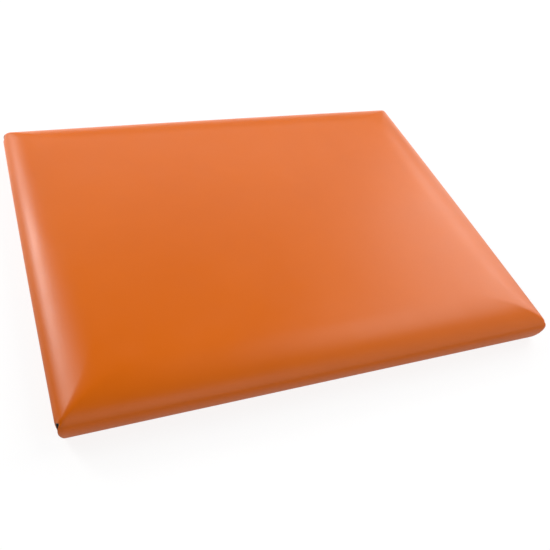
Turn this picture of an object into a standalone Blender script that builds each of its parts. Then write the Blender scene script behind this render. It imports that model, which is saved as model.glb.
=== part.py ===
"""Upholstered pad: a plywood board under two foam slabs and wadding, with one sheet of vinyl wrapped over it.

The vinyl folds under the board and is stapled there together with a black dust cover. Four T-nuts in the board
take the bolts that hold the pad to a frame. Metres, +Z up: the padded face looks up, the long side runs along X,
and the origin is the middle of the underside.
"""

import math

import bmesh
import bpy
from mathutils import Matrix

# The finished pad. LENGTH and WIDTH are taken at the bottom edge, where the vinyl turns under.
LENGTH = 0.600
WIDTH = 0.467
HEIGHT = 0.0506
SWELL = 0.0065  # how far the sides stand out past the bottom edge at half height
SHOULDER_Z = 0.0277  # where the side starts to turn over into the crown
CROWN_RUN = 0.0513  # how far in from the bottom edge the crown reaches its full height
CORNER_RADIUS = 0.004  # in plan, at the sides
CORNER_GROWTH = 0.5  # how much the corner radius grows for each metre further in up the crown

# The layers, from the underside up
GAP = 0.0003  # left between pieces that touch
LINER = 0.0008
VINYL = 0.0012
BOARD = 0.018
FIRM_FOAM = 0.012
WADDING = 0.0025
WADDING_HEM_Z = 0.0105  # the wadding is trimmed this high above the underside
MARGIN = 0.040  # the vinyl under the board, measured in from the bottom edge
LINER_INSET = 0.021
LINER_CORNER = 0.006
FOLD_RADIUS = 0.0015  # of the vinyl where it turns under
BOARD_CORNER = 0.003

# M8 T-nuts, pressed into the board from its upper side
T_NUT_SPACING_X = 0.400
T_NUT_SPACING_Y = 0.300
THREAD_RADIUS = 0.0034
BARREL_RADIUS = 0.005
BARREL_LENGTH = 0.011
FLANGE_RADIUS = 0.011
FLANGE_THICKNESS = 0.0015
PRONG_COUNT = 4
PRONG_AT = 0.0085
PRONG_SIZE = (0.0012, 0.0035, 0.0070)
LINER_HOLE_RADIUS = 0.008

# Holes in the board that let air out of the foam
VENT_RADIUS = 0.008
VENT_X = (-0.120, 0.0, 0.120)
VENT_Y = (-0.085, 0.085)

# Staples through the dust cover and the vinyl into the board
STAPLE_INSET = 0.027
STAPLE_CROWN = 0.0105
STAPLE_LEG = 0.0085
STAPLE_WIRE = (0.0012, 0.0006)
STAPLES_LONG = 10
STAPLES_SHORT = 8
STAPLE_SPAN_LONG = 0.500
STAPLE_SPAN_SHORT = 0.364

# Mesh detail
SIDE_STEPS = 4
CROWN_STEPS = 7
CORNER_STEPS = 4
ROUND_STEPS = 24
MIN_LAYER = 0.0005  # rings closer than this to a cut are left out
MIN_RADIUS = 0.0015
SMOOTH_UNDER = math.radians(40)  # edges gentler than this are shaded smooth
OVERSHOOT = 0.003  # how far a cutter passes beyond the face it opens
FOLD_CHAMFER = 0.3  # of the fold's radius
PRONG_TIP = 0.4  # of the prong's section

Z_MARGIN = LINER + GAP
Z_BOARD = Z_MARGIN + VINYL + GAP
Z_BOARD_TOP = Z_BOARD + BOARD
Z_FIRM = Z_BOARD_TOP + GAP
Z_SOFT = Z_FIRM + FIRM_FOAM + GAP


def clear_scene():
    for obj in list(bpy.data.objects):
        bpy.data.objects.remove(obj)


def new_collection(name):
    collection = bpy.data.collections.new(name)
    bpy.context.scene.collection.children.link(collection)
    return collection


def new_material(name, colour, roughness, metallic=0.0):
    material = bpy.data.materials.new(name)
    material.use_nodes = True
    shader = material.node_tree.nodes["Principled BSDF"]
    shader.inputs["Base Color"].default_value = (*colour, 1.0)
    shader.inputs["Roughness"].default_value = roughness
    shader.inputs["Metallic"].default_value = metallic
    return material


def new_piece(name, mesh, collection, material):
    obj = bpy.data.objects.new(name, mesh)
    collection.objects.link(obj)
    if material:
        obj.data.materials.append(material)
    return obj


def finish_mesh(bm, name):
    bmesh.ops.recalc_face_normals(bm, faces=bm.faces)
    mesh = bpy.data.meshes.new(name)
    bm.to_mesh(mesh)
    bm.free()
    return mesh


def shade_round(mesh):
    mesh.shade_smooth()
    mesh.set_sharp_from_angle(angle=SMOOTH_UNDER)


def make_cutter(obj):
    obj.hide_render = True
    obj.display_type = "WIRE"
    return obj


def cut(obj, cutter, operation="DIFFERENCE"):
    boolean = obj.modifiers.new(cutter.name, "BOOLEAN")
    boolean.operation = operation
    boolean.solver = "EXACT"
    boolean.object = cutter


# The pad's profile: points (inset, z, corner radius), from the bottom edge up to the edge of the flat top.


def swell_at(z):
    return SWELL * math.sin(math.pi * min(1.0, z / HEIGHT))


def pad_profile():
    points = []
    for step in range(SIDE_STEPS + 1):
        z = Z_MARGIN + FOLD_RADIUS + (SHOULDER_Z - Z_MARGIN - FOLD_RADIUS) * step / SIDE_STEPS
        points.append((-swell_at(z), z, CORNER_RADIUS))
    for step in range(1, CROWN_STEPS + 1):
        angle = 0.5 * math.pi * step / CROWN_STEPS
        run = CROWN_RUN * (1.0 - math.cos(angle))
        z = SHOULDER_Z + (HEIGHT - SHOULDER_Z) * math.sin(angle)
        points.append((run - swell_at(z), z, CORNER_RADIUS + CORNER_GROWTH * run))
    return points


def offset_profile(points, distance):
    """The profile moved inwards by a distance, square to itself."""
    moved = []
    for i, (inset, z, radius) in enumerate(points):
        before = points[max(0, i - 1)]
        after = points[min(len(points) - 1, i + 1)]
        run, rise = after[0] - before[0], after[1] - before[1]
        if i == len(points) - 1:
            run, rise = 1.0, 0.0
        length = math.hypot(run, rise)
        inward = distance * rise / length
        moved.append((inset + inward, z - distance * run / length, max(MIN_RADIUS, radius - inward)))
    return moved


def point_at(points, z):
    """The profile's point at a height."""
    for low, high in zip(points, points[1:]):
        if low[1] <= z <= high[1]:
            share = (z - low[1]) / (high[1] - low[1])
            return tuple(a + share * (b - a) for a, b in zip(low, high))
    return points[0] if z < points[0][1] else points[-1]


def between(points, low, high):
    """The stretch of a profile between two heights."""
    inside = [p for p in points if low + MIN_LAYER < p[1] < high - MIN_LAYER]
    first, last = point_at(points, low), point_at(points, high)
    return [(first[0], low, first[2]), *inside, (last[0], high, last[2])]


def outline(inset, z, radius):
    """A rounded rectangle, inset from the bottom edge's rectangle, at one height."""
    half_x, half_y = LENGTH / 2 - inset, WIDTH / 2 - inset
    points = []
    for corner in range(4):
        sign_x = (1, -1, -1, 1)[corner]
        sign_y = (1, 1, -1, -1)[corner]
        for step in range(CORNER_STEPS + 1):
            angle = 0.5 * math.pi * (corner + step / CORNER_STEPS)
            x = sign_x * (half_x - radius) + radius * math.cos(angle)
            y = sign_y * (half_y - radius) + radius * math.sin(angle)
            points.append((x, y, z))
    return points


def loft(name, profile, bottom=True):
    """A skin through the outlines of a profile, closed at the top, and at the bottom if asked."""
    bm = bmesh.new()
    rings = [[bm.verts.new(p) for p in outline(*point)] for point in profile]
    for low, high in zip(rings, rings[1:]):
        for i in range(len(low)):
            j = (i + 1) % len(low)
            bm.faces.new((low[i], low[j], high[j], high[i]))
    bm.faces.new(rings[-1])
    if bottom:
        bm.faces.new(reversed(rings[0]))
    return finish_mesh(bm, name)


def add_shell(obj, thickness):
    shell = obj.modifiers.new("thickness", "SOLIDIFY")
    shell.thickness = thickness
    shell.offset = -1.0
    shell.use_even_offset = True
    shell.use_rim = True


# Flat pieces, boxes and round cutters


def rounded_slab(name, length, width, low, high, radius):
    bm = bmesh.new()
    bmesh.ops.create_cube(bm, size=1.0)
    bmesh.ops.scale(bm, vec=(length, width, high - low), verts=bm.verts)
    bmesh.ops.translate(bm, vec=(0.0, 0.0, (low + high) / 2), verts=bm.verts)
    upright = [e for e in bm.edges if e.verts[0].co.xy == e.verts[1].co.xy]
    bmesh.ops.bevel(bm, geom=upright, offset=radius, segments=CORNER_STEPS, profile=0.5, affect="EDGES")
    return finish_mesh(bm, name)


def add_box(bm, centre, size, turn=0.0):
    place = Matrix.Translation(centre) @ Matrix.Rotation(turn, 4, "Z") @ Matrix.Diagonal((*size, 1.0))
    return bmesh.ops.create_cube(bm, size=1.0, matrix=place)["verts"]


def add_rod(bm, x, y, radius, low, high):
    place = Matrix.Translation((x, y, (low + high) / 2))
    bmesh.ops.create_cone(
        bm, cap_ends=True, segments=ROUND_STEPS, radius1=radius, radius2=radius, depth=high - low, matrix=place
    )


def t_nut_places():
    rows = (("front", -1), ("back", 1))
    columns = (("left", -1), ("right", 1))
    for row, sign_y in rows:
        for column, sign_x in columns:
            yield f"{row}_{column}", sign_x * T_NUT_SPACING_X / 2, sign_y * T_NUT_SPACING_Y / 2


def prong_places():
    for i in range(PRONG_COUNT):
        yield 2 * math.pi * i / PRONG_COUNT


def staple_places():
    """(name, x, y, turn) for each staple; its crown lies along the nearest edge."""
    edge_x, edge_y = LENGTH / 2 - STAPLE_INSET, WIDTH / 2 - STAPLE_INSET
    for side, sign in (("front", -1), ("back", 1)):
        for i in range(STAPLES_LONG):
            x = STAPLE_SPAN_LONG * (i / (STAPLES_LONG - 1) - 0.5)
            yield f"staple_{side}_{i + 1:02d}", x, sign * edge_y, 0.0
    for side, sign in (("left", -1), ("right", 1)):
        for i in range(STAPLES_SHORT):
            y = STAPLE_SPAN_SHORT * (i / (STAPLES_SHORT - 1) - 0.5)
            yield f"staple_{side}_{i + 1:02d}", sign * edge_x, y, math.pi / 2


# Cutters


def leg_hole_cutter(collection):
    bm = bmesh.new()
    width, depth = STAPLE_WIRE[0] + 2 * GAP, STAPLE_WIRE[1] + 2 * GAP
    low, high = -OVERSHOOT, STAPLE_LEG + GAP
    reach = (STAPLE_CROWN - STAPLE_WIRE[1]) / 2
    for _, x, y, turn in staple_places():
        for side in (-1, 1):
            at = (x + side * reach * math.cos(turn), y + side * reach * math.sin(turn), (low + high) / 2)
            add_box(bm, at, (depth, width, high - low), turn)
    return make_cutter(new_piece("leg_holes", finish_mesh(bm, "leg_holes"), collection, None))


def crown_slot_cutter(collection):
    bm = bmesh.new()
    size = (STAPLE_CROWN + 2 * GAP, STAPLE_WIRE[0] + 2 * GAP, 2 * (LINER + OVERSHOOT))
    for _, x, y, turn in staple_places():
        add_box(bm, (x, y, 0.0), size, turn)
    return make_cutter(new_piece("crown_slots", finish_mesh(bm, "crown_slots"), collection, None))


def board_hole_cutter(collection):
    """The vents, and each T-nut's barrel hole."""
    bm = bmesh.new()
    for x in VENT_X:
        for y in VENT_Y:
            add_rod(bm, x, y, VENT_RADIUS, Z_BOARD - OVERSHOOT, Z_BOARD_TOP + OVERSHOOT)
    for _, x, y in t_nut_places():
        add_rod(bm, x, y, BARREL_RADIUS + GAP, Z_BOARD - OVERSHOOT, Z_BOARD_TOP + OVERSHOOT)
    return make_cutter(new_piece("board_holes", finish_mesh(bm, "board_holes"), collection, None))


def flange_recess_cutter(collection):
    bm = bmesh.new()
    for _, x, y in t_nut_places():
        add_rod(bm, x, y, FLANGE_RADIUS + GAP, Z_BOARD_TOP - FLANGE_THICKNESS - GAP, Z_BOARD_TOP + OVERSHOOT)
    return make_cutter(new_piece("flange_recesses", finish_mesh(bm, "flange_recesses"), collection, None))


def prong_slot_cutter(collection):
    bm = bmesh.new()
    thick, wide, deep = PRONG_SIZE
    low, high = Z_BOARD_TOP - deep - GAP, Z_BOARD_TOP - FLANGE_THICKNESS
    for _, x, y in t_nut_places():
        for turn in prong_places():
            at = (x + PRONG_AT * math.cos(turn), y + PRONG_AT * math.sin(turn), (low + high) / 2)
            add_box(bm, at, (thick + 2 * GAP, wide + 2 * GAP, high - low), turn)
    return make_cutter(new_piece("prong_slots", finish_mesh(bm, "prong_slots"), collection, None))


def liner_hole_cutter(collection):
    bm = bmesh.new()
    for _, x, y in t_nut_places():
        add_rod(bm, x, y, LINER_HOLE_RADIUS, -OVERSHOOT, LINER + OVERSHOOT)
    return make_cutter(new_piece("liner_holes", finish_mesh(bm, "liner_holes"), collection, None))


# The pieces


def base_board(collection, material, cutters):
    inset = VINYL + GAP
    mesh = rounded_slab(
        "base_board", LENGTH - 2 * inset, WIDTH - 2 * inset, Z_BOARD, Z_BOARD_TOP, BOARD_CORNER
    )
    board = new_piece("base_board", mesh, collection, material)
    for name in ("board_holes", "flange_recesses", "prong_slots", "leg_holes"):
        cut(board, cutters[name])


def foam_slabs(collection, firm_material, soft_material):
    core = offset_profile(pad_profile(), VINYL + WADDING + 2 * GAP)
    firm = loft("firm_foam", between(core, Z_FIRM, Z_FIRM + FIRM_FOAM))
    new_piece("firm_foam", firm, collection, firm_material)
    soft = loft("soft_foam", between(core, Z_SOFT, core[-1][1]))
    shade_round(soft)
    new_piece("soft_foam", soft, collection, soft_material)


def wadding(collection, material):
    outer = offset_profile(pad_profile(), VINYL + GAP)
    mesh = loft("wadding", between(outer, WADDING_HEM_Z, outer[-1][1]), bottom=False)
    shade_round(mesh)
    add_shell(new_piece("wadding", mesh, collection, material), WADDING)


def vinyl_cover(collection, material, cutters):
    """The margin under the board, the fold, the sides and the crown, as one skin."""
    fold = [
        (MARGIN, Z_MARGIN, CORNER_RADIUS),
        (FOLD_RADIUS, Z_MARGIN, CORNER_RADIUS),
        (FOLD_CHAMFER * FOLD_RADIUS, Z_MARGIN + FOLD_CHAMFER * FOLD_RADIUS, CORNER_RADIUS),
    ]
    mesh = loft("vinyl_cover", fold + pad_profile(), bottom=False)
    shade_round(mesh)
    cover = new_piece("vinyl_cover", mesh, collection, material)
    add_shell(cover, VINYL)
    cut(cover, cutters["leg_holes"])


def dust_cover(collection, material, cutters):
    mesh = rounded_slab(
        "dust_cover", LENGTH - 2 * LINER_INSET, WIDTH - 2 * LINER_INSET, 0.0, LINER, LINER_CORNER
    )
    liner = new_piece("dust_cover", mesh, collection, material)
    cut(liner, cutters["crown_slots"])
    cut(liner, cutters["liner_holes"])


def t_nut_mesh(collection):
    """The flange and barrel are turned about Z, with the flange's top at z = 0, and the prongs hang from it."""
    bm = bmesh.new()
    low = -FLANGE_THICKNESS - BARREL_LENGTH
    section = (
        (THREAD_RADIUS, 0.0),
        (FLANGE_RADIUS, 0.0),
        (FLANGE_RADIUS, -FLANGE_THICKNESS),
        (BARREL_RADIUS, -FLANGE_THICKNESS),
        (BARREL_RADIUS, low),
        (THREAD_RADIUS, low),
    )
    verts = [bm.verts.new((radius, 0.0, z)) for radius, z in section]
    for i in range(len(verts)):
        bm.edges.new((verts[i], verts[(i + 1) % len(verts)]))
    bmesh.ops.spin(
        bm, geom=bm.verts[:] + bm.edges[:], cent=(0, 0, 0), axis=(0, 0, 1), angle=2 * math.pi,
        steps=ROUND_STEPS, use_merge=True,
    )
    bmesh.ops.remove_doubles(bm, verts=bm.verts, dist=1e-6)
    turned = new_piece("t_nut_turned", finish_mesh(bm, "t_nut_turned"), collection, None)

    bm = bmesh.new()
    thick, wide, deep = PRONG_SIZE
    root = 0.5 * FLANGE_THICKNESS
    for turn in prong_places():
        at = (PRONG_AT * math.cos(turn), PRONG_AT * math.sin(turn), -(root + deep) / 2)
        verts = add_box(bm, at, (thick, wide, deep - root), turn)
        lowest = min(v.co.z for v in verts)
        tip = [v for v in verts if v.co.z == lowest]
        centre = sum((v.co for v in tip), tip[0].co * 0.0) / len(tip)
        bmesh.ops.scale(bm, vec=(PRONG_TIP, PRONG_TIP, 1.0), verts=tip, space=Matrix.Translation(-centre))
    prongs = make_cutter(new_piece("prongs", finish_mesh(bm, "prongs"), collection, None))

    cut(turned, prongs, "UNION")
    bpy.context.view_layer.update()
    mesh = bpy.data.meshes.new_from_object(turned.evaluated_get(bpy.context.evaluated_depsgraph_get()))
    mesh.name = "t_nut"
    for helper in (turned, prongs):
        bpy.data.objects.remove(helper)
    shade_round(mesh)
    return mesh


def t_nuts(collection, cutter_collection, material):
    mesh = t_nut_mesh(cutter_collection)
    mesh.materials.append(material)
    for name, x, y in t_nut_places():
        nut = new_piece(f"t_nut_{name}", mesh, collection, None)
        nut.location = (x, y, Z_BOARD_TOP)


def staple_curve(material):
    """A staple's outline in its own plane: crown below, two pointed legs up, centred on the middle of the crown."""
    half, thick = STAPLE_CROWN / 2, STAPLE_WIRE[1]
    tip = STAPLE_LEG - thick
    points = (
        (-half, 0.0), (half, 0.0), (half, STAPLE_LEG), (half - thick, tip),
        (half - thick, thick), (thick - half, thick), (thick - half, tip), (-half, STAPLE_LEG),
    )
    curve = bpy.data.curves.new("staple", "CURVE")
    curve.dimensions = "2D"
    curve.fill_mode = "BOTH"
    curve.extrude = STAPLE_WIRE[0] / 2
    spline = curve.splines.new("POLY")
    spline.points.add(len(points) - 1)
    for point, (x, y) in zip(spline.points, points):
        point.co = (x, y, 0.0, 1.0)
    spline.use_cyclic_u = True
    curve.materials.append(material)
    return curve


def staples(collection, material):
    curve = staple_curve(material)
    for name, x, y, turn in staple_places():
        staple = new_piece(name, curve, collection, None)
        staple.rotation_euler = (math.pi / 2, 0.0, turn)
        staple.location = (x, y, 0.0)


def main():
    clear_scene()
    pad = new_collection("upholstered_pad")
    helpers = new_collection("cutters")

    vinyl = new_material("orange_vinyl", (0.78, 0.17, 0.02), 0.38)
    plywood = new_material("plywood", (0.62, 0.45, 0.27), 0.65)
    firm = new_material("firm_foam", (0.20, 0.22, 0.25), 0.95)
    soft = new_material("soft_foam", (0.85, 0.78, 0.52), 0.95)
    fleece = new_material("wadding", (0.03, 0.03, 0.03), 0.95)
    black = new_material("black_liner", (0.02, 0.02, 0.02), 0.9)
    zinc = new_material("zinc_steel", (0.60, 0.61, 0.62), 0.35, 1.0)

    made = (
        leg_hole_cutter(helpers), crown_slot_cutter(helpers), board_hole_cutter(helpers),
        flange_recess_cutter(helpers), prong_slot_cutter(helpers), liner_hole_cutter(helpers),
    )
    cutters = {obj.name: obj for obj in made}

    base_board(pad, plywood, cutters)
    foam_slabs(pad, firm, soft)
    wadding(pad, fleece)
    vinyl_cover(pad, vinyl, cutters)
    dust_cover(pad, black, cutters)
    t_nuts(pad, helpers, zinc)
    staples(pad, zinc)


main()
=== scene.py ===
"""The looks of an upholstered pad: orange vinyl stretched over foam and a plywood board.

Metres, +Z up. The padded face looks up, the long side runs along X, and the origin is the middle of the
underside. Corner 0 is the near right one, and the others follow anticlockwise.
"""

import math

import bmesh
import bpy
import numpy as np
from mathutils import Matrix, Vector

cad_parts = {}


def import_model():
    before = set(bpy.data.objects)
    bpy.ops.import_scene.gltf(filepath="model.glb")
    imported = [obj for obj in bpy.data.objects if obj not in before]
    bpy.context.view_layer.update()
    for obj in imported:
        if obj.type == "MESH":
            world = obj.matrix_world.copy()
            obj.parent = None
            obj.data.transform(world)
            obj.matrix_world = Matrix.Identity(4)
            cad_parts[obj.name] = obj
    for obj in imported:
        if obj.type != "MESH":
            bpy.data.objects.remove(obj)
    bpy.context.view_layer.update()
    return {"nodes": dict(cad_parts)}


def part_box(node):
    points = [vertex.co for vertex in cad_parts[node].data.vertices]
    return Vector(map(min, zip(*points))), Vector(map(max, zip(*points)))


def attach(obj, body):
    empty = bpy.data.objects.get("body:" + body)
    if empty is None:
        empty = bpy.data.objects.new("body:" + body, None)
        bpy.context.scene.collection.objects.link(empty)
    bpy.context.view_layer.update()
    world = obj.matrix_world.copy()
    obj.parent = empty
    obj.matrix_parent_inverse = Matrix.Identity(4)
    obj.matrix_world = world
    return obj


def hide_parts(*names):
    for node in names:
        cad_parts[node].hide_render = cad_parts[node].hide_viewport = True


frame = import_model()

GAP = 0.0003  # between pieces that touch
VINYL = 0.0012
WADDING = 0.0023

board_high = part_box("base_board")[1]
cover_low, cover_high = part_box("vinyl_cover")
firm_low, firm_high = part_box("firm_foam")
soft_low, soft_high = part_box("soft_foam")
liner_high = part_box("dust_cover")[1]

# The bottom edge, where the vinyl turns under the board
EDGE_X = board_high.x + VINYL + GAP
EDGE_Y = board_high.y + VINYL + GAP
UNDERSIDE = cover_low.z
HEIGHT = cover_high.z

# The pad's profile
SWELL = cover_high.x - EDGE_X  # how far the sides stand out past the bottom edge
SHOULDER_Z = 0.0277  # where the side starts to turn over into the crown
CROWN_RUN = 0.0513  # how far in the crown reaches its full height
CORNER_RADIUS = 0.004  # of the corners at the shoulder
CORNER_GROWTH = 16.0  # how it grows from there with the square of the distance in over the crown
FOOT_RADIUS = 0.0015  # of the corners at the bottom edge
BOW = 0.0011  # how far the sides bow out half way between the corners
FOLD_RADIUS = 0.0015  # of the turn under the board
MARGIN = 0.040  # the vinyl under the board

# How the mesh is divided
SIDE_STEPS = 6
CROWN_STEPS = 10
MARGIN_STEPS = 5
COLUMN_SPACING = 0.010
NEAR_CORNER = (0.0025, 0.005, 0.008, 0.012, 0.018, 0.026)
ARC_SHARES = (-0.5, -0.37, -0.24, 0.0, 0.24, 0.37)  # of the corner's quarter turn; 0.5 starts the next side
RELAX_STEPS = 1500  # to even out the grid over the top

# How the vinyl swells over the padding
CLOTH = {
    "quality": 6, "mass": 0.4, "tension_stiffness": 40, "compression_stiffness": 40, "shear_stiffness": 20,
    "bending_stiffness": 4, "use_pressure": True, "uniform_pressure_force": 4.0,
}
SWELL_FRAMES = 20
SWELL_CAP = 0.0025  # the furthest that a point moves
EVEN_STEPS = 60

# The mouths of the corner folds, measured round the corner from its middle towards the short side
MOUTH_RINGS = SIDE_STEPS + 1  # bands of faces, up from the fold, that a mouth is cut through
MOUTH_FROM = -0.37  # the column at its long side's edge, as a share of the corner's quarter turn
MOUTH_LONG_FOOT = -0.0012  # its long side's edge, at the bottom and where it is widest
MOUTH_LONG_TOP = 0.0010
MOUTH_LIP = 0.0008  # from there to the next column of the long side
MOUTH_SHORT_FOOT = 0.0012  # its short side's edge, likewise
MOUTH_SHORT_TOP = 0.0085
MOUTH_FULL_Z = 0.027  # where it is widest
MOUTH_ARCH = (0.3, 0.5, 0.5, 0.3, 0.15, -0.05, -0.55, -1.0)  # in profile steps, across the mouth's columns
MOUTH_ARCH_BEYOND = (-0.5, -0.25)  # and over the next two columns of the short side
MOUTH_ARCH_REACH = {-1: 0.5, 0: 1.0, 1: 0.4, 2: 0.15}  # how much of it each ring near the top takes
TUCK = 0.0011  # how far the mouth's edges turn in

# The foams' cut edges
CUT_EDGE = 0.0008  # how softly they are rounded
# The rings that round them, each as (how much further in, how far from the cut)
CUT_RINGS = ((6.0 * CUT_EDGE, 0.0), (CUT_EDGE, 0.0), (0.3 * CUT_EDGE, 0.3 * CUT_EDGE))
HALVINGS = 40  # to find where the profile passes a height

# The dust lining
LINING = 0.0003
LINING_Z = 0.0001
LINING_CELL = 0.00625
LINING_CORNER = 0.006
LINING_EDGE_LINES = (0.0105, 0.00798, 0.006, 0.00402, 0.00198, 0.0)  # grid lines, in from its edges
LINING_HEM = 0.005
HEM_TURN = 0.0001  # how far the fold of the hem stands out
HEM_RISE = 0.00045  # at the fold, and again at the hem's edge
LINING_RIM = 0.003  # what is closer to the edge than this is folded
LINING_SLACK = 0.0012
SLACK_RUN = 0.03  # from the window's edge to where the slack is full
PRESSED = 0.0005  # how far up a staple presses the lining
PRESSED_REACH = 0.004
HOLE_RADIUS = 0.008
HOLE_RINGS = (1.2, 1.0)  # radii, as shares of the hole's
HOLE_REACH = 2 * LINING_CELL  # from a hole's middle to the sides of the square it is cut in

# The photograph's viewpoint
CAMERA_AZIMUTH = math.radians(-31.22)
CAMERA_ELEVATION = math.radians(45.29)
CAMERA_ROLL = math.radians(14.74)
CAMERA_TARGET = Vector((-0.0187, -0.0861, 0.030))
CAMERA_DISTANCE = 0.863
CAMERA_LENS = 45.1
CAMERA_SENSOR = 36.0

# The studio: the floor and the world look bright in the picture, and cast another light on the pad
LIGHT_DISTANCE = 2.2
FLOOR_SIZE = 6.0
FLOOR_CELLS = 24
FLOOR_GREY = 0.2
FLOOR_SEEN = 0.85
FLOOR_CAST_FRONT = 0.05
FLOOR_CAST_BACK = 1.2
FLOOR_FADE = 0.4  # the cast light changes between this far in front of the pad's middle and as far behind it
WORLD_SEEN = 0.87
WORLD_CAST = 0.01


# ---------------------------------------------------------------- materials


def add_node(tree, kind, settings=None, **inputs):
    """A shader node. Each input goes by its name, or by i and its number. A socket is linked to it, and
    anything else is its value."""
    node = tree.nodes.new(kind)
    for name, value in (settings or {}).items():
        setattr(node, name, value)
    for name, value in inputs.items():
        socket = node.inputs[int(name[1:])] if name[0] == "i" and name[1:].isdigit() else node.inputs[name]
        if isinstance(value, bpy.types.NodeSocket):
            tree.links.new(value, socket)
        else:
            socket.default_value = value
    return node


def new_material(name, roughness=0.5, metallic=0.0, specular=0.5):
    material = bpy.data.materials.new(name)
    material.use_nodes = True
    shader = material.node_tree.nodes["Principled BSDF"]
    shader.inputs["Roughness"].default_value = roughness
    shader.inputs["Metallic"].default_value = metallic
    shader.inputs["Specular IOR Level"].default_value = specular
    return material, material.node_tree, shader


def object_point(tree):
    return tree.nodes.new("ShaderNodeTexCoord").outputs["Object"]


def noise(tree, point, scale, detail=2.0, roughness=0.5, distortion=0.0):
    node = add_node(
        tree, "ShaderNodeTexNoise", Vector=point, Scale=scale, Detail=detail, Roughness=roughness,
        Distortion=distortion,
    )
    return node.outputs["Fac"]


def ramp(tree, factor, *stops):
    """A colour ramp; each stop is (position, colour)."""
    node = add_node(tree, "ShaderNodeValToRGB", Fac=factor)
    elements = node.color_ramp.elements
    while len(elements) < len(stops):
        elements.new(0.5)
    for element, (position, colour) in zip(elements, stops):
        element.position = position
        element.color = (*colour, 1.0)
    return node.outputs["Color"]


def spread(tree, value, low, high, to_low, to_high):
    """A value's range from low to high, spread from to_low to to_high."""
    node = tree.nodes.new("ShaderNodeMapRange")
    tree.links.new(value, node.inputs["Value"])
    for name, number in zip(("From Min", "From Max", "To Min", "To Max"), (low, high, to_low, to_high)):
        node.inputs[name].default_value = number
    return node.outputs["Result"]


def maths(tree, operation, first, second):
    node = add_node(tree, "ShaderNodeMath", {"operation": operation}, i0=first, i1=second)
    return node.outputs["Value"]


def bump(tree, shader, height, strength, distance, below=None):
    """Gives the shader a bump, on top of the one below it if there is one."""
    node = add_node(tree, "ShaderNodeBump", Height=height, Strength=strength, Distance=distance)
    if below is not None:
        tree.links.new(below, node.inputs["Normal"])
    tree.links.new(node.outputs["Normal"], shader.inputs["Normal"])
    return node.outputs["Normal"]


def vinyl_material():
    """Smooth upholstery vinyl with a fine embossed grain, faintly uneven in colour and gloss."""
    material, tree, shader = new_material("orange_vinyl", specular=0.4)
    point = object_point(tree)
    patches = noise(tree, point, 9.0, detail=3.0, roughness=0.55)
    colour = ramp(tree, patches, (0.30, (0.785, 0.148, 0.0)), (0.70, (0.815, 0.157, 0.0)))
    tree.links.new(colour, shader.inputs["Base Color"])
    handled = noise(tree, point, 22.0, detail=4.0)
    tree.links.new(spread(tree, handled, 0.3, 0.7, 0.33, 0.39), shader.inputs["Roughness"])
    cells = add_node(
        tree, "ShaderNodeTexVoronoi", {"feature": "SMOOTH_F1"}, Vector=point, Scale=1100.0, Smoothness=0.5
    ).outputs["Distance"]
    creases = noise(tree, point, 420.0, detail=3.0, distortion=0.6)
    grain = maths(tree, "ADD", cells, creases)
    waves = noise(tree, point, 38.0, detail=2.0)
    base = bump(tree, shader, waves, 0.25, 0.0004)
    bump(tree, shader, grain, 0.30, 0.00006, base)
    return material


def backing_material():
    """The knitted backing on the reverse of the vinyl."""
    material, tree, shader = new_material("vinyl_backing", roughness=0.9, specular=0.2)
    point = object_point(tree)
    shader.inputs["Base Color"].default_value = (0.42, 0.40, 0.36, 1.0)
    loops = add_node(
        tree, "ShaderNodeTexWave", {"wave_type": "BANDS", "bands_direction": "DIAGONAL"}, Vector=point,
        Scale=260.0, Distortion=2.0, Detail=2.0,
    ).outputs["Fac"]
    tint = noise(tree, point, 300.0)
    colour = ramp(tree, tint, (0.3, (0.34, 0.32, 0.28)), (0.7, (0.50, 0.48, 0.43)))
    tree.links.new(colour, shader.inputs["Base Color"])
    bump(tree, shader, loops, 0.5, 0.0002)
    return material


def fleece_material():
    """Black needled fleece, matt and fibrous; its near-black also serves as painted shade in the gaps of the
    corner folds' mouths, where it shows.
    """
    material, tree, shader = new_material("black_fleece_and_mouth_shade", roughness=0.95, specular=0.15)
    point = object_point(tree)
    fibres = noise(tree, point, 900.0, detail=5.0, roughness=0.7, distortion=1.5)
    # Near-black: the fleece's own colour, and also painted shade where it shows in the corner mouths' gaps.
    colour = ramp(tree, fibres, (0.25, (0.006, 0.007, 0.005)), (0.75, (0.022, 0.024, 0.018)))
    tree.links.new(colour, shader.inputs["Base Color"])
    tufts = noise(tree, point, 260.0, detail=4.0, distortion=2.0)
    bump(tree, shader, maths(tree, "ADD", fibres, tufts), 0.7, 0.0005)
    return material


def foam_material(name, dark, light, cell_scale, flecks=None):
    """Open-cell foam: pits over an uneven colour; flecks colours the crumbs of a bonded foam."""
    material, tree, shader = new_material(name, roughness=0.95, specular=0.1)
    point = object_point(tree)
    tint = noise(tree, point, 45.0, detail=4.0)
    colour = ramp(tree, tint, (0.3, dark), (0.7, light))
    if flecks:
        crumbs = add_node(tree, "ShaderNodeTexVoronoi", Vector=point, Scale=110.0)
        picked = ramp(tree, crumbs.outputs["Color"], (0.35, dark), (0.6, light), (0.8, flecks))
        colour = add_node(
            tree, "ShaderNodeMix", {"data_type": "RGBA"}, i0=0.6, i6=colour, i7=picked
        ).outputs[2]
    tree.links.new(colour, shader.inputs["Base Color"])
    pits = add_node(tree, "ShaderNodeTexVoronoi", Vector=point, Scale=cell_scale).outputs["Distance"]
    bump(tree, shader, pits, 0.8, 0.0006)
    return material


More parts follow.
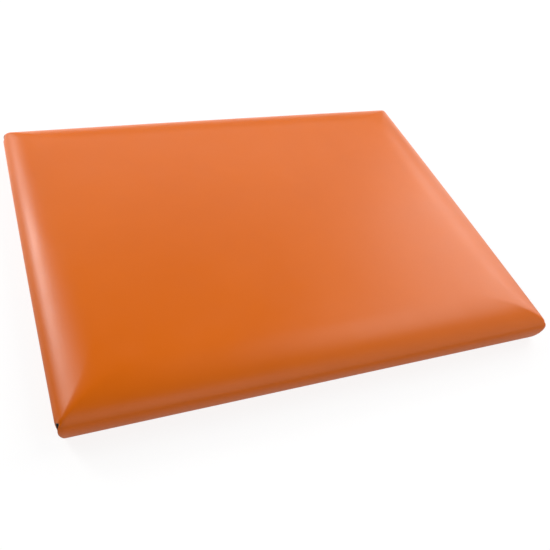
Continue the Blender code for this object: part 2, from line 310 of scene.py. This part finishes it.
def liner_material():
    """Black spunbond: fibres, pressed with a regular pattern of small bond points."""
    material, tree, shader = new_material("black_liner", roughness=0.8, specular=0.25)
    point = object_point(tree)
    fibres = noise(tree, point, 700.0, detail=5.0, roughness=0.65, distortion=2.5)
    colour = ramp(tree, fibres, (0.25, (0.009, 0.009, 0.010)), (0.75, (0.032, 0.032, 0.034)))
    tree.links.new(colour, shader.inputs["Base Color"])
    turned = add_node(tree, "ShaderNodeMapping", Vector=point, Rotation=(0.0, 0.0, math.radians(45)))
    points = add_node(
        tree, "ShaderNodeTexVoronoi", Vector=turned.outputs["Vector"], Scale=620.0, Randomness=0.0
    ).outputs["Distance"]
    pressed = spread(tree, points, 0.15, 0.40, 0.0, 1.0)
    tree.links.new(spread(tree, pressed, 0.0, 1.0, 0.55, 0.88), shader.inputs["Roughness"])
    lofted = bump(tree, shader, fibres, 0.4, 0.0002)
    bump(tree, shader, pressed, 0.6, 0.00015, lofted)
    return material


def plywood_material():
    """Birch plywood: long grain on the faces, and on the edges the layers one above the other."""
    material, tree, shader = new_material("plywood", roughness=0.6, specular=0.3)
    point = object_point(tree)
    stretched = add_node(tree, "ShaderNodeMapping", Vector=point, Scale=(2.5, 60.0, 90.0)).outputs["Vector"]
    grain = noise(tree, stretched, 3.0, detail=6.0, roughness=0.6, distortion=0.8)
    face = ramp(
        tree, grain, (0.30, (0.42, 0.27, 0.13)), (0.55, (0.60, 0.43, 0.25)), (0.75, (0.68, 0.52, 0.33))
    )
    height = add_node(tree, "ShaderNodeSeparateXYZ", Vector=point).outputs["Z"]
    layer_thickness = 0.0014
    layer = maths(tree, "PINGPONG", maths(tree, "MULTIPLY", height, 1.0 / layer_thickness), 1.0)
    layers = ramp(tree, layer, (0.30, (0.72, 0.56, 0.38)), (0.70, (0.30, 0.18, 0.09)))
    normal = tree.nodes.new("ShaderNodeNewGeometry").outputs["Normal"]
    upright = add_node(tree, "ShaderNodeSeparateXYZ", Vector=normal).outputs["Z"]
    on_edge = maths(tree, "LESS_THAN", maths(tree, "ABSOLUTE", upright, 0.0), 0.5)
    colour = add_node(
        tree, "ShaderNodeMix", {"data_type": "RGBA"}, i0=on_edge, i6=face, i7=layers
    ).outputs[2]
    tree.links.new(colour, shader.inputs["Base Color"])
    tree.links.new(spread(tree, grain, 0.3, 0.7, 0.70, 0.52), shader.inputs["Roughness"])
    bump(tree, shader, grain, 0.4, 0.0003)
    return material


def steel_material(name, dark, light, roughness, streak_scale):
    """Plated steel: mottled plating with fine drawn lines."""
    material, tree, shader = new_material(name, metallic=1.0)
    point = object_point(tree)
    mottle = noise(tree, point, 900.0, detail=4.0)
    tree.links.new(ramp(tree, mottle, (0.3, dark), (0.7, light)), shader.inputs["Base Color"])
    tree.links.new(
        spread(tree, mottle, 0.3, 0.7, roughness + 0.08, roughness - 0.06), shader.inputs["Roughness"]
    )
    stretched = add_node(tree, "ShaderNodeMapping", Vector=point, Scale=streak_scale).outputs["Vector"]
    bump(tree, shader, noise(tree, stretched, 1500.0, detail=3.0), 0.35, 0.00004)
    return material


# ------------------------------------------------------ the pad's shape


def swell_at(z):
    return SWELL * math.sin(math.pi * min(1.0, z / HEIGHT))


def profile(step):
    """(inset, z, corner radius, bow) of the pad's skin; 0 is above the fold, SIDE_STEPS the shoulder."""
    foot = UNDERSIDE + FOLD_RADIUS
    if step <= SIDE_STEPS:
        share = step / SIDE_STEPS
        z = foot + (SHOULDER_Z - foot) * share
        return -swell_at(z), z, FOOT_RADIUS + (CORNER_RADIUS - FOOT_RADIUS) * share, BOW * share
    angle = 0.5 * math.pi * (step - SIDE_STEPS) / CROWN_STEPS
    run = CROWN_RUN * (1.0 - math.cos(angle))
    z = SHOULDER_Z + (HEIGHT - SHOULDER_Z) * math.sin(angle)
    return run - swell_at(z), z, CORNER_RADIUS + CORNER_GROWTH * run * run, BOW


def inner_profile(step, depth):
    """The profile moved inwards by a depth, square to itself."""
    nearby = 0.05
    inset, z, radius, bow = profile(step)
    before = profile(max(0.0, step - nearby))
    after = profile(min(SIDE_STEPS + CROWN_STEPS, step + nearby))
    run, rise = after[0] - before[0], after[1] - before[1]
    length = math.hypot(run, rise)
    inward = depth * rise / length
    return inset + inward, z - depth * run / length, max(FOOT_RADIUS / 2, radius - inward), bow


def side_distances(length):
    """Distances along a side at which columns stand: close together near the corners, then evenly."""
    last = NEAR_CORNER[-1]
    steps = round((length - 2 * last) / COLUMN_SPACING)
    even = [last + (length - 2 * last) * i / steps for i in range(1, steps)]
    return [*NEAR_CORNER, *even, *(length - d for d in reversed(NEAR_CORNER))]


class Columns:
    """Where the mesh's columns stand round the pad, starting from the middle of the near left corner."""

    def __init__(self):
        self.kinds = []
        self.side_counts = []
        lengths = (2 * (EDGE_X + SWELL - CORNER_RADIUS), 2 * (EDGE_Y + SWELL - CORNER_RADIUS))
        half = [share for share in ARC_SHARES if share >= 0.0]
        for side in range(4):
            length = lengths[side % 2]
            start = len(self.kinds)
            self.kinds += [("arc", (side + 3) % 4, share) for share in half]
            self.kinds += [("arc", (side + 3) % 4, 0.5)]
            self.kinds += [("side", side, d / length) for d in side_distances(length)]
            self.kinds += [("arc", side, share) for share in ARC_SHARES if share < 0.0]
            self.side_counts.append(len(self.kinds) - start)

    def ring(self, inset, z, radius, bow=0.0):
        """The columns' points on one rounded rectangle, whose sides may bow outwards."""
        half_x, half_y = EDGE_X - inset, EDGE_Y - inset
        in_x, in_y = half_x - radius, half_y - radius
        centres = ((in_x, -in_y), (in_x, in_y), (-in_x, in_y), (-in_x, -in_y))
        starts = ((-in_x, -half_y), (half_x, -in_y), (in_x, half_y), (-half_x, in_y))
        ends = ((in_x, -half_y), (half_x, in_y), (-in_x, half_y), (-half_x, -in_y))
        points = []
        for kind, place, share in self.kinds:
            if kind == "arc":
                angle = 0.5 * math.pi * (place - 0.5 + share)
                cx, cy = centres[place]
                points.append((cx + radius * math.cos(angle), cy + radius * math.sin(angle), z))
            else:
                (x0, y0), (x1, y1) = starts[place], ends[place]
                out_x, out_y = ((0, -1), (1, 0), (0, 1), (-1, 0))[place]
                bowed = bow * 4.0 * share * (1.0 - share)
                x = x0 + (x1 - x0) * share + out_x * bowed
                points.append((x, y0 + (y1 - y0) * share + out_y * bowed, z))
        return np.array(points)


columns = Columns()


def fill_grid(ring):
    """A grid of points inside a ring, (rows, columns, 3), evened out from the ring's own spacing."""
    wide, deep = columns.side_counts[0], columns.side_counts[1]
    grid = np.zeros((deep + 1, wide + 1, 3))
    grid[0, :] = ring[: wide + 1]
    grid[:, wide] = ring[wide : wide + deep + 1]
    grid[deep, ::-1] = ring[wide + deep : 2 * wide + deep + 1]
    left = [*ring[2 * wide + deep :], ring[0]]
    grid[::-1, 0] = left
    share = np.linspace(0.0, 1.0, deep + 1)[1:-1, None, None]
    grid[1:-1, 1:-1] = (1 - share) * grid[0, 1:-1] + share * grid[-1, 1:-1]
    for _ in range(RELAX_STEPS):
        around = grid[:-2, 1:-1] + grid[2:, 1:-1] + grid[1:-1, :-2] + grid[1:-1, 2:]
        grid[1:-1, 1:-1] = around / 4
    return grid


def grid_indices(ring_start, inner_start):
    """The vertex numbers of a filled grid, whose border is a ring and whose inside was added after it."""
    wide, deep = columns.side_counts[0], columns.side_counts[1]
    count = 2 * (wide + deep)
    numbers = np.zeros((deep + 1, wide + 1), dtype=int)
    ring = ring_start + np.arange(count)
    numbers[0, :] = ring[: wide + 1]
    numbers[:, wide] = ring[wide : wide + deep + 1]
    numbers[deep, ::-1] = ring[wide + deep : 2 * wide + deep + 1]
    numbers[::-1, 0] = [*ring[2 * wide + deep :], ring[0]]
    numbers[1:-1, 1:-1] = inner_start + np.arange((deep - 1) * (wide - 1)).reshape(deep - 1, wide - 1)
    return numbers


def grid_faces(numbers, flip=False):
    faces = []
    for j in range(numbers.shape[0] - 1):
        for i in range(numbers.shape[1] - 1):
            face = (numbers[j, i], numbers[j, i + 1], numbers[j + 1, i + 1], numbers[j + 1, i])
            faces.append(tuple(int(n) for n in (reversed(face) if flip else face)))
    return faces


def skin_mesh(name, rings, top=True, bottom=False):
    """A mesh through rings of points, filled over the last ring and under the first if asked.
    Returns (mesh, the bands' faces by (band, column))."""
    count = len(rings[0])
    verts = [point for ring in rings for point in ring]
    faces, bands = [], {}
    for band in range(len(rings) - 1):
        for i in range(count):
            j = (i + 1) % count
            bands[band, i] = len(faces)
            low, high = band * count, (band + 1) * count
            faces.append((low + i, low + j, high + j, high + i))
    if top:
        grid = fill_grid(rings[-1])
        numbers = grid_indices((len(rings) - 1) * count, len(verts))
        verts += list(grid[1:-1, 1:-1].reshape(-1, 3))
        faces += grid_faces(numbers)
    if bottom:
        grid = fill_grid(rings[0])
        numbers = grid_indices(0, len(verts))
        verts += list(grid[1:-1, 1:-1].reshape(-1, 3))
        faces += grid_faces(numbers, flip=True)
    mesh = bpy.data.meshes.new(name)
    mesh.from_pydata([tuple(v) for v in verts], [], faces)
    mesh.shade_smooth()
    return mesh, bands


def new_piece(name, mesh, *materials):
    piece = bpy.data.objects.new(name, mesh)
    bpy.context.collection.objects.link(piece)
    for material in materials:
        mesh.materials.append(material)
    return piece


def points_of(mesh):
    flat = np.zeros(3 * len(mesh.vertices))
    mesh.vertices.foreach_get("co", flat)
    return flat.reshape(-1, 3)


def put_points(mesh, points):
    mesh.vertices.foreach_set("co", points.ravel())
    mesh.update()


# ------------------------------------------------------------ the vinyl


def margin_rings():
    """The vinyl under the board, from the window's edge out, and the fold round the bottom edge."""
    rings = []
    for i in range(MARGIN_STEPS):
        inset = MARGIN + (3 * FOLD_RADIUS - MARGIN) * i / (MARGIN_STEPS - 1)
        rings.append((inset, UNDERSIDE, FOOT_RADIUS))
    rings.append((FOLD_RADIUS, UNDERSIDE, FOOT_RADIUS))
    turn = 1.0 - math.sqrt(0.5)
    rings.append((FOLD_RADIUS * turn, UNDERSIDE + FOLD_RADIUS * turn, FOOT_RADIUS))
    return rings


def mouth_columns(corner):
    """The columns across a corner's mouth, from the long side's edge to the short side's, and two beyond."""
    toward = short_side_turn(corner)
    arc = [i for i, kind in enumerate(columns.kinds) if kind[0] == "arc" and kind[1] == corner]
    arc.sort(key=lambda i: toward * columns.kinds[i][2])
    across = [i for i in arc if toward * columns.kinds[i][2] >= MOUTH_FROM]
    count = len(columns.kinds)
    beyond = [(across[-1] + toward * step) % count for step in range(1, 5)]
    return across + beyond[:2], beyond[2:]


def short_side_turn(corner):
    """1 if the short side comes after the corner going anticlockwise, or else -1."""
    return 1 if corner % 2 == 0 else -1


def round_corner(corner, along, ring):
    """The point of a ring at a distance along it from the middle of a corner, towards the short side."""
    inset, z, radius = ring[:3]
    half_turn = 0.25 * math.pi
    turn = max(-half_turn, min(half_turn, along / radius))
    middle = 0.5 * math.pi * (corner - 0.5)
    sign_x, sign_y = math.copysign(1.0, math.cos(middle)), math.copysign(1.0, math.sin(middle))
    angle = middle + short_side_turn(corner) * turn
    past = max(0.0, abs(along) - half_turn * radius)
    x = sign_x * (EDGE_X - inset - radius - past * (along < 0)) + radius * math.cos(angle)
    y = sign_y * (EDGE_Y - inset - radius - past * (along > 0)) + radius * math.sin(angle)
    return x, y, z


def mouth_edges(z):
    """How far round the corner the mouth's two edges stand at a height."""
    foot = UNDERSIDE + FOLD_RADIUS
    share = math.sin(0.5 * math.pi * max(0.0, min(1.0, (z - foot) / (MOUTH_FULL_Z - foot))))
    long_edge = MOUTH_LONG_FOOT + (MOUTH_LONG_TOP - MOUTH_LONG_FOOT) * share
    return long_edge, MOUTH_SHORT_FOOT + (MOUTH_SHORT_TOP - MOUTH_SHORT_FOOT) * share


def mouth_places(corner, across):
    """How far across the mouth each of its columns stands, from 0 to 1."""
    quarter = 0.5 * math.pi * CORNER_RADIUS
    along = []
    for column in across[:-2]:
        share = columns.kinds[column][2]
        along.append((0.5 if abs(share) == 0.5 else share * short_side_turn(corner)) * quarter)
    along += [quarter / 2 + distance for distance in NEAR_CORNER[:2]]
    return [(a - along[0]) / (along[-1] - along[0]) for a in along]


def cover_ring(step):
    """A ring of the cover, whose columns gather round the mouths of the corner folds."""
    ring = columns.ring(*profile(step))
    above = step - MOUTH_RINGS
    if above > max(MOUTH_ARCH_REACH):
        return ring
    reach = MOUTH_ARCH_REACH.get(above, 0.0)
    for corner in range(4):
        across, beyond = mouth_columns(corner)
        if above <= 0:
            arched = profile(step + reach * MOUTH_ARCH[0])
            lip = (across[0] - short_side_turn(corner)) % len(columns.kinds)
            ring[lip] = round_corner(corner, mouth_edges(arched[1])[0] - MOUTH_LIP, arched)
        for column, place, arch in zip(across, mouth_places(corner, across), MOUTH_ARCH):
            arched = profile(step + reach * arch)
            if above <= 0:
                long_edge, short_edge = mouth_edges(arched[1])
                ring[column] = round_corner(corner, long_edge + (short_edge - long_edge) * place, arched)
            else:
                ring[column] = columns.ring(*arched)[column]
        for column, arch in zip(beyond, MOUTH_ARCH_BEYOND):
            ring[column] = columns.ring(*profile(step + reach * arch))[column]
    return ring


def cover_rings():
    """The cover's rings, from the window's edge under the board to the top."""
    under = [columns.ring(*ring) for ring in margin_rings()]
    return under + [cover_ring(step) for step in range(SIDE_STEPS + CROWN_STEPS + 1)]


def cover_flat():
    """The vinyl's size before it is wrapped, along its way from one edge under the board to the other."""
    path = [ring[:2] for ring in margin_rings()]
    path += [profile(step)[:2] for step in range(SIDE_STEPS + CROWN_STEPS + 1)]
    wrapped = sum(math.dist(a, b) for a, b in zip(path, path[1:]))
    top_inset = path[-1][0]
    return 2 * (wrapped + EDGE_X - top_inset), 2 * (wrapped + EDGE_Y - top_inset)


def swell(mesh, held):
    """How far each point moves when the vinyl is blown up against its own stretch, held at the margin."""
    piece = bpy.data.objects.new("swelling", mesh)
    bpy.context.collection.objects.link(piece)
    piece.vertex_groups.new(name="held").add(held, 1.0, "REPLACE")
    settings = piece.modifiers.new("cloth", "CLOTH").settings
    for name, value in CLOTH.items():
        setattr(settings, name, value)
    settings.vertex_group_mass = "held"
    settings.effector_weights.gravity = 0.0
    scene = bpy.context.scene
    scene.frame_start = 1
    scene.frame_end = SWELL_FRAMES
    for number in range(1, SWELL_FRAMES + 1):
        scene.frame_set(number)
    evaluated = piece.evaluated_get(bpy.context.evaluated_depsgraph_get())
    normals = np.zeros(3 * len(mesh.vertices))
    mesh.vertices.foreach_get("normal", normals)
    normals = normals.reshape(-1, 3)
    outward = ((points_of(evaluated.data) - points_of(mesh)) * normals).sum(axis=1)
    scene.frame_set(1)
    bpy.data.objects.remove(piece)
    outward = evened(mesh, np.maximum(outward, 0.0), held)
    return normals * (outward * min(1.0, SWELL_CAP / outward.max()))[:, None]


def evened(mesh, values, held):
    """Spreads each point's value over its neighbours, as foam does, and keeps it nil where it is held."""
    ends = np.zeros(2 * len(mesh.edges), dtype=int)
    mesh.edges.foreach_get("vertices", ends)
    first, second = ends.reshape(-1, 2).T
    count = len(values)
    neighbours = np.bincount(ends, minlength=count)
    for _ in range(EVEN_STEPS):
        around = np.bincount(first, values[second], count) + np.bincount(second, values[first], count)
        values = (values + around / neighbours) / 2
        values[held] = 0.0
    return values


def vinyl_upholstery(vinyl, backing):
    """The cover. Returns it and how far it swelled: ring by ring above the fold, and over the top's grid."""
    mesh, bands = skin_mesh("vinyl_upholstery", cover_rings())
    count = len(columns.kinds)
    first_side = len(margin_rings())
    moved = np.zeros((len(mesh.vertices), 3))
    moved = swell(mesh, list(range(count * (first_side + 1))))
    put_points(mesh, points_of(mesh) + moved)
    piece = new_piece("vinyl_upholstery", mesh, vinyl, backing)
    open_mouths(mesh, bands, first_side)
    thickness = piece.modifiers.new("thickness", "SOLIDIFY")
    thickness.thickness = VINYL
    thickness.offset = -1.0
    thickness.material_offset = 1
    thickness.material_offset_rim = 1
    smooth = piece.modifiers.new("smooth", "SUBSURF")
    smooth.levels = 1
    smooth.render_levels = 1
    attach(piece, "root")
    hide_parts("vinyl_cover")
    rings = first_side + SIDE_STEPS + CROWN_STEPS + 1
    by_ring = moved[: rings * count].reshape(rings, count, 3)
    return piece, (by_ring[first_side:], moved[rings * count :])


def open_mouths(mesh, bands, first_side):
    """Cuts the mouths of the corner folds and turns their edges in."""
    gone = set()
    count = len(columns.kinds)
    for corner in range(4):
        across, _ = mouth_columns(corner)
        for first, second in zip(across, across[1:]):
            column = first if (first + 1) % count == second else second
            for band in range(first_side, first_side + MOUTH_RINGS):
                gone.add(bands[band, column])
    bm = bmesh.new()
    bm.from_mesh(mesh)
    bm.faces.ensure_lookup_table()
    bmesh.ops.delete(bm, geom=[bm.faces[i] for i in gone], context="FACES")
    bm.normal_update()
    window_z = UNDERSIDE + FOLD_RADIUS / 2
    edge = {v for e in bm.edges if e.is_boundary for v in e.verts if v.co.z > window_z}
    for vert in edge:
        vert.co -= TUCK * vert.normal
    bm.to_mesh(mesh)
    bm.free()


# ------------------------------------------------- the fleece and the foams


def shift_points(mesh, start, moves):
    points = points_of(mesh)
    points[start : start + len(moves)] += moves
    put_points(mesh, points)


def fleece_wrap(material, shift):
    """Fleece over the foam's top and down the sides, pressed thin where it meets the board's edge."""
    by_ring, over_top = shift
    steps = range(SIDE_STEPS + CROWN_STEPS + 1)
    board_inset = EDGE_X - board_high.x
    inner, outer = [], []
    for step in steps:
        inset, z, radius, bow = inner_profile(step, VINYL + GAP + WADDING)
        if z < board_high.z:
            inset, bow = min(inset, board_inset - GAP / 2), 0.0
        inner.append(columns.ring(inset, z, radius, bow) + by_ring[step])
        outer.append(columns.ring(*inner_profile(step, VINYL + GAP)) + by_ring[step])
    inner.reverse()
    mesh, _ = skin_mesh("fleece_wrap", inner + outer, bottom=True)
    grid_start = len(columns.kinds) * 2 * len(steps)
    shift_points(mesh, grid_start, np.concatenate((over_top, over_top)))
    piece = new_piece("fleece_wrap", mesh, material)
    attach(piece, "root")
    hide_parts("wadding")


def at_height(depth, z):
    """The profile moved inwards by a depth, where it passes a height, and the nearest step to that."""
    low, high = 0.0, float(SIDE_STEPS + CROWN_STEPS)
    for _ in range(HALVINGS):
        middle = (low + high) / 2
        if inner_profile(middle, depth)[1] < z:
            low = middle
        else:
            high = middle
    return inner_profile(low, depth), round(low)


def foam_slab(name, node, low, high, material, shift, crowned=False):
    """A foam slab between two heights, with faintly rounded cut edges; the crowned one follows the top."""
    by_ring, over_top = shift
    depth = VINYL + WADDING + 2 * GAP
    rings = []

    def add_ring(at, further_in=0.0, height=None):
        (inset, z, radius, bow), step = at_height(depth, at)
        ring_z = z if height is None else height
        rings.append(columns.ring(inset + further_in, ring_z, radius, bow) + by_ring[step])

    for further_in, up in CUT_RINGS:
        add_ring(low + CUT_EDGE, further_in, low + up)
    add_ring(low + CUT_EDGE)
    add_ring(low + 3 * CUT_EDGE)
    if crowned:
        for step in range(SIDE_STEPS + CROWN_STEPS + 1):
            ring = inner_profile(step, depth)
            if ring[1] > low + 4 * CUT_EDGE:
                rings.append(columns.ring(*ring) + by_ring[step])
    else:
        for at in ((low + high) / 2, high - 3 * CUT_EDGE, high - CUT_EDGE):
            add_ring(at)
        for further_in, down in reversed(CUT_RINGS):
            add_ring(high - CUT_EDGE, further_in, high - down)
    mesh, _ = skin_mesh(name, rings, bottom=True)
    if crowned:
        shift_points(mesh, len(columns.kinds) * len(rings), over_top)
    piece = new_piece(name, mesh, material)
    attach(piece, "root")
    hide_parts(node)


# --------------------------------------------------------------- the lining


def staple_boxes():
    return [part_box(name) for name in sorted(frame["nodes"]) if name.startswith("staple_")]


def lining_lines(half):
    """Where the lining grid's lines stand: every cell, and closer along the edges, where the staples are."""
    close = [half - inward for inward in LINING_EDGE_LINES]
    steps = int((close[0] - LINING_CELL / 2) / LINING_CELL)
    inner = [LINING_CELL * i for i in range(-steps, steps + 1)]
    return [-x for x in reversed(close)] + inner + close


def lining_height(x, y, staples):
    """The sheet hangs in slack waves across the window and is pressed up under each staple."""
    inside = min(EDGE_X - MARGIN - abs(x), EDGE_Y - MARGIN - abs(y))
    slack = max(0.0, min(1.0, inside / SLACK_RUN))
    wave = 0.5 + 0.5 * math.sin(21.0 * x + 2.3 * math.sin(17.0 * y + 1.0)) * math.cos(26.0 * y + 1.7 * x)
    z = LINING_Z + LINING_SLACK * slack * wave
    for low, high in staples:
        away_x = max(0.0, low.x - x, x - high.x)
        away_y = max(0.0, low.y - y, y - high.y)
        away = math.hypot(away_x, away_y) / PRESSED_REACH
        if away < 3.0:
            z += PRESSED * math.exp(-away * away)
    return z


def lay_lining(bm, nuts):
    """The lining's flat part, with a square opening under each T-nut."""
    xs, ys = lining_lines(liner_high.x), lining_lines(liner_high.y)
    staples = staple_boxes()
    within = 0.9 * HOLE_REACH  # leaves the square's own points
    corner = liner_high - Vector((1.0, 1.0, 0.0)) * LINING_CORNER * (1.0 - math.sqrt(0.5))
    verts = {}
    for i, x in enumerate(xs):
        for j, y in enumerate(ys):
            if any(abs(x - n.x) < within and abs(y - n.y) < within for n in nuts):
                continue
            at_x, at_y = x, y
            if i in (0, len(xs) - 1) and j in (0, len(ys) - 1):
                at_x, at_y = math.copysign(corner.x, x), math.copysign(corner.y, y)
            verts[i, j] = bm.verts.new((at_x, at_y, lining_height(x, y, staples)))
    for i in range(len(xs) - 1):
        for j in range(len(ys) - 1):
            square = ((i, j), (i, j + 1), (i + 1, j + 1), (i + 1, j))
            if all(at in verts for at in square):
                middle_x, middle_y = (xs[i] + xs[i + 1]) / 2, (ys[j] + ys[j + 1]) / 2
                if any(max(abs(middle_x - n.x), abs(middle_y - n.y)) < HOLE_REACH for n in nuts):
                    continue
                bm.faces.new([verts[at] for at in square])


def dust_lining(material):
    """The black sheet on the underside, hemmed, with a round hole under each T-nut."""
    nuts = [(low + high) / 2 for low, high in (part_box(n) for n in frame["nodes"] if n.startswith("t_nut_"))]
    bm = bmesh.new()
    lay_lining(bm, nuts)
    hem_lining(bm)
    cut_lining_holes(bm, nuts)
    mesh = bpy.data.meshes.new("dust_lining")
    bm.to_mesh(mesh)
    bm.free()
    mesh.shade_smooth()
    piece = new_piece("dust_lining", mesh, material)
    thickness = piece.modifiers.new("thickness", "SOLIDIFY")
    thickness.thickness = LINING
    thickness.offset = -1.0
    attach(piece, "root")
    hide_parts("dust_cover")


def boundary(bm, wanted):
    """The open edges whose ends are both wanted."""
    return [e for e in bm.edges if e.is_boundary and all(wanted(v.co) for v in e.verts)]


def hem_lining(bm):
    """Folds the lining's edge back on its upper side."""
    rim_x, rim_y = liner_high.x - LINING_RIM, liner_high.y - LINING_RIM
    outer = boundary(bm, lambda co: abs(co.x) > rim_x or abs(co.y) > rim_y)
    for inward in (-HEM_TURN, LINING_HEM):
        grown = bmesh.ops.extrude_edge_only(bm, edges=outer)["geom"]
        for vert in (item for item in grown if isinstance(item, bmesh.types.BMVert)):
            limit_x, limit_y = liner_high.x - inward, liner_high.y - inward
            if inward < 0:
                vert.co.x += math.copysign(-inward, vert.co.x) * (abs(vert.co.x) > rim_x)
                vert.co.y += math.copysign(-inward, vert.co.y) * (abs(vert.co.y) > rim_y)
            else:
                vert.co.x = max(-limit_x, min(limit_x, vert.co.x))
                vert.co.y = max(-limit_y, min(limit_y, vert.co.y))
            vert.co.z += HEM_RISE
        outer = [item for item in grown if isinstance(item, bmesh.types.BMEdge) and item.is_boundary]


def cut_lining_holes(bm, nuts):
    """Rounds each square opening to a hole under its T-nut."""
    for nut in nuts:
        square = boundary(bm, lambda co: max(abs(co.x - nut.x), abs(co.y - nut.y)) < 1.1 * HOLE_REACH)
        for radius in (HOLE_RADIUS * share for share in HOLE_RINGS):
            grown = bmesh.ops.extrude_edge_only(bm, edges=square)["geom"]
            for vert in (item for item in grown if isinstance(item, bmesh.types.BMVert)):
                angle = math.atan2(vert.co.y - nut.y, vert.co.x - nut.x)
                vert.co.x = nut.x + radius * math.cos(angle)
                vert.co.y = nut.y + radius * math.sin(angle)
            square = [item for item in grown if isinstance(item, bmesh.types.BMEdge) and item.is_boundary]


# ------------------------------------------------------------- the studio


def seen_and_cast(tree, seen, cast):
    """One brightness for what the picture shows of a backdrop, another for the light that it casts."""
    path = tree.nodes.new("ShaderNodeLightPath")
    return add_node(tree, "ShaderNodeMix", i0=path.outputs["Is Camera Ray"], i2=cast, i3=seen).outputs[0]


def studio_floor():
    """A pale floor, which casts more light from behind the pad than from in front of it."""
    bm = bmesh.new()
    bmesh.ops.create_grid(bm, x_segments=FLOOR_CELLS, y_segments=FLOOR_CELLS, size=FLOOR_SIZE)
    mesh = bpy.data.meshes.new("studio_floor")
    bm.to_mesh(mesh)
    bm.free()
    material, tree, shader = new_material("studio_floor", roughness=0.9, specular=0.0)
    shader.inputs["Base Color"].default_value = (FLOOR_GREY, FLOOR_GREY, FLOOR_GREY, 1.0)
    shader.inputs["Emission Color"].default_value = (1.0, 1.0, 1.0, 1.0)
    depth = add_node(tree, "ShaderNodeSeparateXYZ", Vector=object_point(tree)).outputs["Y"]
    cast = spread(tree, depth, -FLOOR_FADE, FLOOR_FADE, FLOOR_CAST_FRONT, FLOOR_CAST_BACK)
    brightness = seen_and_cast(tree, FLOOR_SEEN, cast)
    tree.links.new(brightness, shader.inputs["Emission Strength"])
    floor = new_piece("studio_floor", mesh, material)


def softbox(name, heading, height, size, power):
    """A soft light that looks at the pad. Its heading turns from +Y towards +X, its height is above the
    floor, and both are in degrees."""
    light = bpy.data.lights.new(name, "AREA")
    light.shape = "RECTANGLE"
    light.size, light.size_y = size
    light.energy = power
    lamp = bpy.data.objects.new(name, light)
    bpy.context.collection.objects.link(lamp)
    heading, height = math.radians(heading), math.radians(height)
    level = math.cos(height)
    away = Vector((math.sin(heading) * level, math.cos(heading) * level, math.sin(height)))
    lamp.location = LIGHT_DISTANCE * away
    lamp.visible_camera = False
    lamp.rotation_mode = "QUATERNION"
    lamp.rotation_quaternion = (-away).to_track_quat("-Z", "Y")


def world():
    backdrop = bpy.data.worlds.new("studio")
    backdrop.use_nodes = True
    background = backdrop.node_tree.nodes["Background"]
    background.inputs["Color"].default_value = (1.0, 1.0, 1.0, 1.0)
    brightness = seen_and_cast(backdrop.node_tree, WORLD_SEEN, WORLD_CAST)
    backdrop.node_tree.links.new(brightness, background.inputs["Strength"])
    bpy.context.scene.world = backdrop


def camera():
    data = bpy.data.cameras.new("camera")
    data.lens = CAMERA_LENS
    data.sensor_width = CAMERA_SENSOR
    data.clip_end = 50.0
    back = Vector((
        math.sin(CAMERA_AZIMUTH) * math.cos(CAMERA_ELEVATION),
        -math.cos(CAMERA_AZIMUTH) * math.cos(CAMERA_ELEVATION),
        math.sin(CAMERA_ELEVATION),
    ))
    right = Vector((0.0, 0.0, 1.0)).cross(back).normalized()
    up = back.cross(right)
    level = Matrix((right, up, back)).transposed()
    obj = bpy.data.objects.new("camera", data)
    bpy.context.collection.objects.link(obj)
    obj.matrix_world = (
        Matrix.Translation(CAMERA_TARGET + CAMERA_DISTANCE * back)
        @ level.to_4x4()
        @ Matrix.Rotation(CAMERA_ROLL, 4, "Z")
    )
    bpy.context.scene.camera = obj


# ---------------------------------------------------------- the whole scene


def repaint(prefix, material):
    """Gives the material to the CAD's own pieces whose names start so."""
    for name, node in frame["nodes"].items():
        if name.startswith(prefix):
            node.material_slots[0].material = material


camera()
world()
studio_floor()
softbox("left_key", heading=-46, height=28, size=(0.5, 0.5), power=13.2)
softbox("left_fill", heading=-60, height=34, size=(1.0, 0.9), power=8.8)
softbox("left_high", heading=-50, height=50, size=(0.6, 0.6), power=3.4)
softbox("back_low", heading=-38, height=12, size=(1.5, 0.8), power=4.4)
softbox("back_fill", heading=10, height=33, size=(2.2, 0.9), power=9.2)
softbox("right", heading=67, height=30, size=(1.5, 0.9), power=18.2)
softbox("right_low", heading=74, height=9, size=(1.6, 0.6), power=4.5)
softbox("right_high", heading=80, height=55, size=(1.0, 0.9), power=9.6)
softbox("front_right", heading=145, height=25, size=(2.4, 2.4), power=17.0)
softbox("front_left", heading=200, height=25, size=(2.4, 2.4), power=12.5)
bpy.context.scene.view_settings.view_transform = "Standard"

cover, swelling = vinyl_upholstery(vinyl_material(), backing_material())
fleece_wrap(fleece_material(), swelling)
cover_flat()
foam_slab(
    "crowned_foam", "soft_foam", soft_low.z, soft_high.z,
    foam_material("soft_foam", (0.72, 0.62, 0.36), (0.84, 0.76, 0.50), 1500.0), swelling, crowned=True,
)
foam_slab(
    "bonded_foam", "firm_foam", firm_low.z, firm_high.z,
    foam_material("firm_foam", (0.10, 0.12, 0.15), (0.22, 0.25, 0.29), 900.0, (0.45, 0.20, 0.12)), swelling,
)
dust_lining(liner_material())
repaint("base_board", plywood_material())
repaint("t_nut_", steel_material("zinc_steel", (0.50, 0.47, 0.40), (0.70, 0.68, 0.62), 0.36, (1.0, 1.0, 0.1)))
repaint(
    "staple_", steel_material("staple_steel", (0.48, 0.49, 0.50), (0.66, 0.67, 0.68), 0.30, (0.1, 0.1, 1.0))
)
